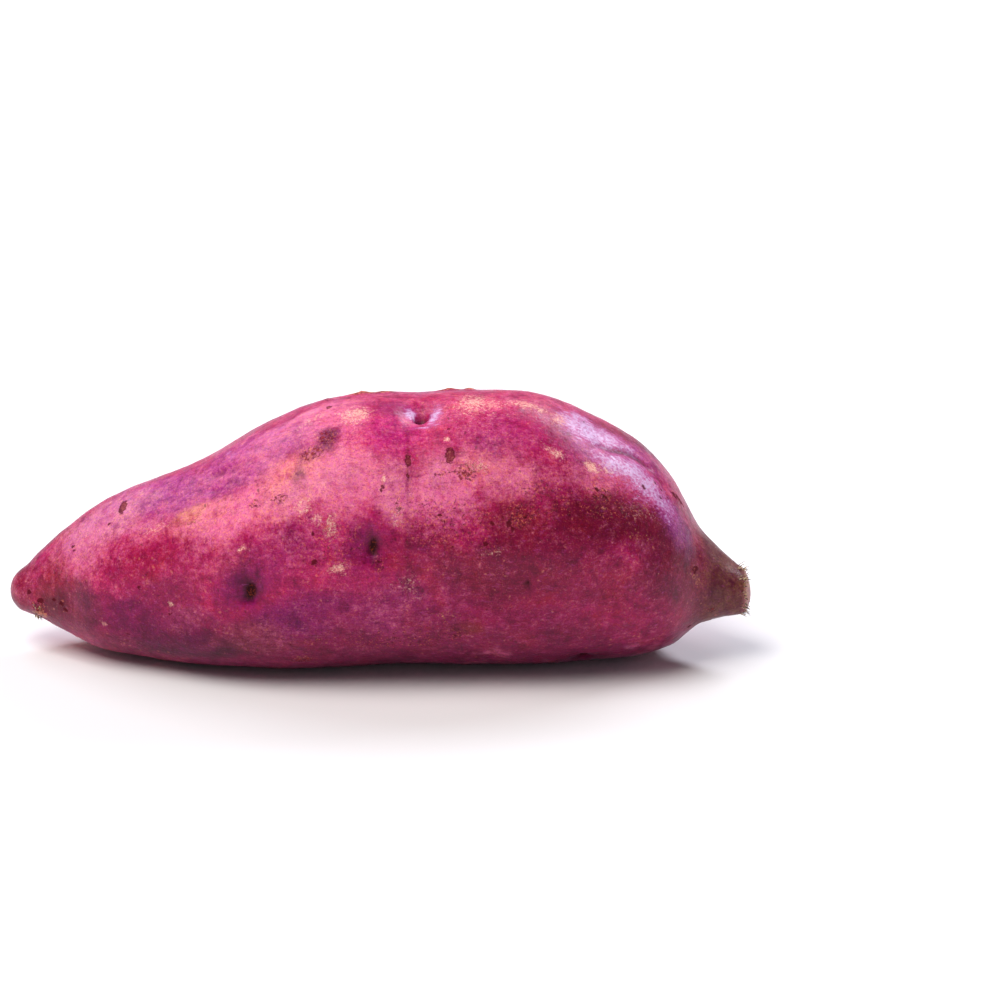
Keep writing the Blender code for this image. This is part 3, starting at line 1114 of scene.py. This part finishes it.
def lay_grain(g):
    """Fine dark grain, patches of a few millimetres, and small changes of hue."""
    g.stain(g.speckle, 0.5, 0.22, (0.66, 0.44, 0.56))
    g.stain(g.fine, 0.5, 0.76, (0.7, 0.5, 0.7))
    patches = g.noise(g.wavy_at, 2.0, 4.0, 0.64, 0.4)
    g.stain(patches, 0.48, 0.7, (0.86, 0.56, 0.74))
    g.stain(patches, 0.48, 0.28, (1.08, 1.3, 1.1))
    hue = g.noise(g.at, 0.62, 3.0, 0.66)
    g.stain(hue, 0.5, 0.68, (1.1, 1.36, 0.68))
    g.stain(hue, 0.5, 0.32, (0.96, 0.74, 1.14))


def lay_halos(g):
    """Darker skin round the eyes."""
    halo_by = g.stirred(g.attribute("halo"), g.mottle, 1.1)
    g.stain(halo_by, 0.12, 0.95, (0.6, 0.14, 0.6))


def lay_bloom(g):
    """Painted lilac sheen in broken strokes, and painted shade in the creases that cross it."""
    strokes = g.noise(g.lengthwise, 0.7, 4.0, 0.7)
    bloom_by = g.stirred(g.attribute("bloom"), strokes, 2.0)
    # Painted sheen: a pink-lilac layer under it, then the pale painted highlight, broken by pits.
    g.cover(g.step(bloom_by, 0.1, 0.7), UNDER_PAINTED_SHEEN_TINT, 0.55)
    pits = g.step(g.noise(g.at, 0.75, 3.0, 0.66), 0.46, 0.64)
    g.bloom = g.times(g.step(bloom_by, 0.34, 1.1), g.lerp(pits, 0.88, 0.26))
    g.cover(g.bloom, PAINTED_SHEEN_TINT)
    # Painted shade in the creases and on the far wall of the pit.
    g.cover(g.attribute("shade"), (0.3, 0.09, 0.22), blend_type="MULTIPLY")


def lay_worn(g):
    """Rubbed places, broken into crumbs, and tan crusts."""
    breaks = g.noise(g.at, 0.8, 4.0, 0.76, 0.3)
    g.worn = g.step(g.stirred(g.attribute("worn"), breaks, 2.4), 0.28, 0.98)
    g.cover(g.worn, g.blend(g.step(g.speckle, 0.42, 0.58), *WORN_TINTS), 0.84)
    crust = g.step(g.stirred(g.attribute("crust"), breaks, 2.2), 0.4, 0.66)
    g.cover(crust, g.blend(g.step(g.grain, 0.38, 0.6), *CRUST_TINTS), 0.8)


def lay_flecks(g):
    """Small tan flecks in clusters, and pores."""
    cluster = g.noise(g.at, 13.0, 2.0, 0.5)
    chance, reach = g.grains(g.wavy_at, 1.2)
    fleck = g.step(g.minus(chance, g.times(cluster, 0.4)), -0.17, -0.19)
    g.cover(g.times(fleck, g.step(reach, 0.38, 0.2)), FLECK_TINT, 0.34)
    chance, reach = g.grains(g.stretched(g.wavy_at, (1.0, 0.6, 0.6)), 3.4)
    pore = g.times(g.step(chance, 0.4, 0.36), g.step(reach, 0.12, 0.06))
    g.cover(pore, PORE_TINT, 0.6)


def lay_scabs(g):
    """Dark ragged specks with tan crumbs between them."""
    field = g.attribute("scab")
    inside = g.step(field, 0.06, 0.24)
    tans = g.noise(g.at, 0.62, 3.0, 0.68, 0.3)
    tan = g.step(g.plus(tans, g.times(field, 0.15)), 0.63, 0.72)
    g.cover(g.times(tan, inside), TAN_TINT, 0.6)
    rags = g.noise(g.at, 0.8, 4.0, 0.76)
    rag = g.step(g.plus(rags, g.times(field, 0.23)), 0.635, 0.735)
    g.scab = g.times(rag, inside)
    browns = g.noise(g.at, 0.9, 3.0, 0.6)
    g.cover(g.scab, g.blend(g.step(browns, 0.44, 0.6), *SCAB_TINTS), 0.82)


def lay_marks(g):
    """Scars, dots and holes, whose edges waver. The holes' dark is partly painted shade."""
    waver = g.times(g.plus(g.noise(g.at, 0.9, 3.0, 0.6), -0.5), 1.3)
    scar_field = g.plus(g.attribute("scar"), g.times(waver, 1.1))
    scar_inside = g.blend(g.step(g.fine, 0.44, 0.6), *SCAR_TINTS)
    scar_colour = g.blend(g.step(scar_field, -0.1, -0.36), SCAR_EDGE_TINT, scar_inside)
    g.scar = g.step(scar_field, 0.22, -0.1)
    g.cover(g.scar, scar_colour, 0.9)
    g.dot = g.step(g.plus(g.attribute("dot"), waver), 0.14, -0.16)
    g.cover(g.dot, DOT_TINT, 0.88)
    hole_field = g.plus(g.attribute("hole"), waver)
    # Painted shade in and round each hole's hollow, over the brown bits of its cork.
    g.stain(hole_field, 0.9, 0.1, (0.3, 0.1, 0.3), 0.5)
    g.hole = g.step(hole_field, 0.4, -0.45)
    g.cover(g.hole, (0.22, 0.06, 0.07), blend_type="MULTIPLY")
    g.cover(g.times(g.step(g.fine, 0.52, 0.62), g.hole), HOLE_BIT_TINT, 0.7)


def roughness(g):
    rough = g.lerp(g.step(g.mottle, 0.35, 0.65), 0.42, 0.3)
    # Smoother where the sheen is painted.
    rough = g.lerp(g.bloom, rough, 0.24)
    rough = g.lerp(g.worn, rough, 0.55)
    for mark in (g.scab, g.scar, g.dot):
        rough = g.lerp(mark, rough, 0.95)
    return g.lerp(g.hole, rough, 0.9)


def fine_relief(g):
    normal = g.bump(g.noise(g.at, 1.6, 4.0, 0.62), 0.15)
    normal = g.bump(g.streak, 0.05, normal)
    normal = g.bump(g.fine, 0.02, normal)
    normal = g.bump(g.scab, 0.1, normal)
    return g.bump(g.worn, -0.05, normal)


def skin_material():
    g = SkinGraph()
    for lay in (lay_clouds, lay_streaks, lay_felt, lay_grain, lay_halos, lay_bloom, lay_worn,
                lay_flecks, lay_scabs, lay_marks):
        lay(g)
    g.put(g.shader.inputs["Base Color"], g.colour)
    g.put(g.shader.inputs["Roughness"], roughness(g))
    g.put(g.shader.inputs["Normal"], fine_relief(g))
    g.shader.inputs["Specular IOR Level"].default_value = 0.2
    g.shader.inputs["Sheen Weight"].default_value = 0.05
    g.shader.inputs["Sheen Roughness"].default_value = 0.35
    g.shader.inputs["Sheen Tint"].default_value = (0.84, 0.78, 1.0, 1.0)
    return g.material


def fibre_material():
    g = Graph("torn_fibre")
    streak = g.noise(g.point(), 0.7, 3.0, 0.6)
    g.put(g.shader.inputs["Base Color"], g.blend(g.step(streak, 0.4, 0.62), *FIBRE_TINTS))
    g.shader.inputs["Roughness"].default_value = 0.8
    return g.material


def plain_material(name, colour, roughness):
    g = Graph(name)
    g.shader.inputs["Base Color"].default_value = (*colour, 1.0)
    g.shader.inputs["Roughness"].default_value = roughness
    return g.material


# The stage

def make_stage():
    bm = bmesh.new()
    bmesh.ops.create_grid(bm, x_segments=1, y_segments=1, size=FLOOR_SIDE / 2)
    floor = link_piece("floor", bm, plain_material("floor", FLOOR_COLOUR, 0.9))
    world = bpy.data.worlds.new("studio")
    world.use_nodes = True
    background = world.node_tree.nodes["Background"]
    background.inputs["Color"].default_value = (*WORLD_COLOUR, 1.0)
    background.inputs["Strength"].default_value = WORLD_STRENGTH
    bpy.context.scene.world = world
    bpy.context.scene.view_settings.view_transform = "Standard"


def softbox(name, azimuth, elevation, width, height, power, colour):
    """A rectangle of light that faces the root."""
    data = bpy.data.lights.new(name, "AREA")
    data.shape = "RECTANGLE"
    data.size = width
    data.size_y = height
    data.energy = power
    data.color = colour
    light = bpy.data.objects.new(name, data)
    a, e = math.radians(azimuth), math.radians(elevation)
    towards = Vector((math.cos(a) * math.cos(e), math.sin(a) * math.cos(e), math.sin(e)))
    light.location = LIGHT_AIM + towards * LIGHT_DISTANCE
    light.rotation_euler = (-towards).to_track_quat("-Z", "Y").to_euler()
    bpy.context.scene.collection.objects.link(light)


place_camera()
make_skin(skin_material())
FIBRE = fibre_material()
for tuft in FIBRES:
    make_fibres(*tuft, FIBRE)
make_stage()
for light in LIGHTS:
    softbox(*light)
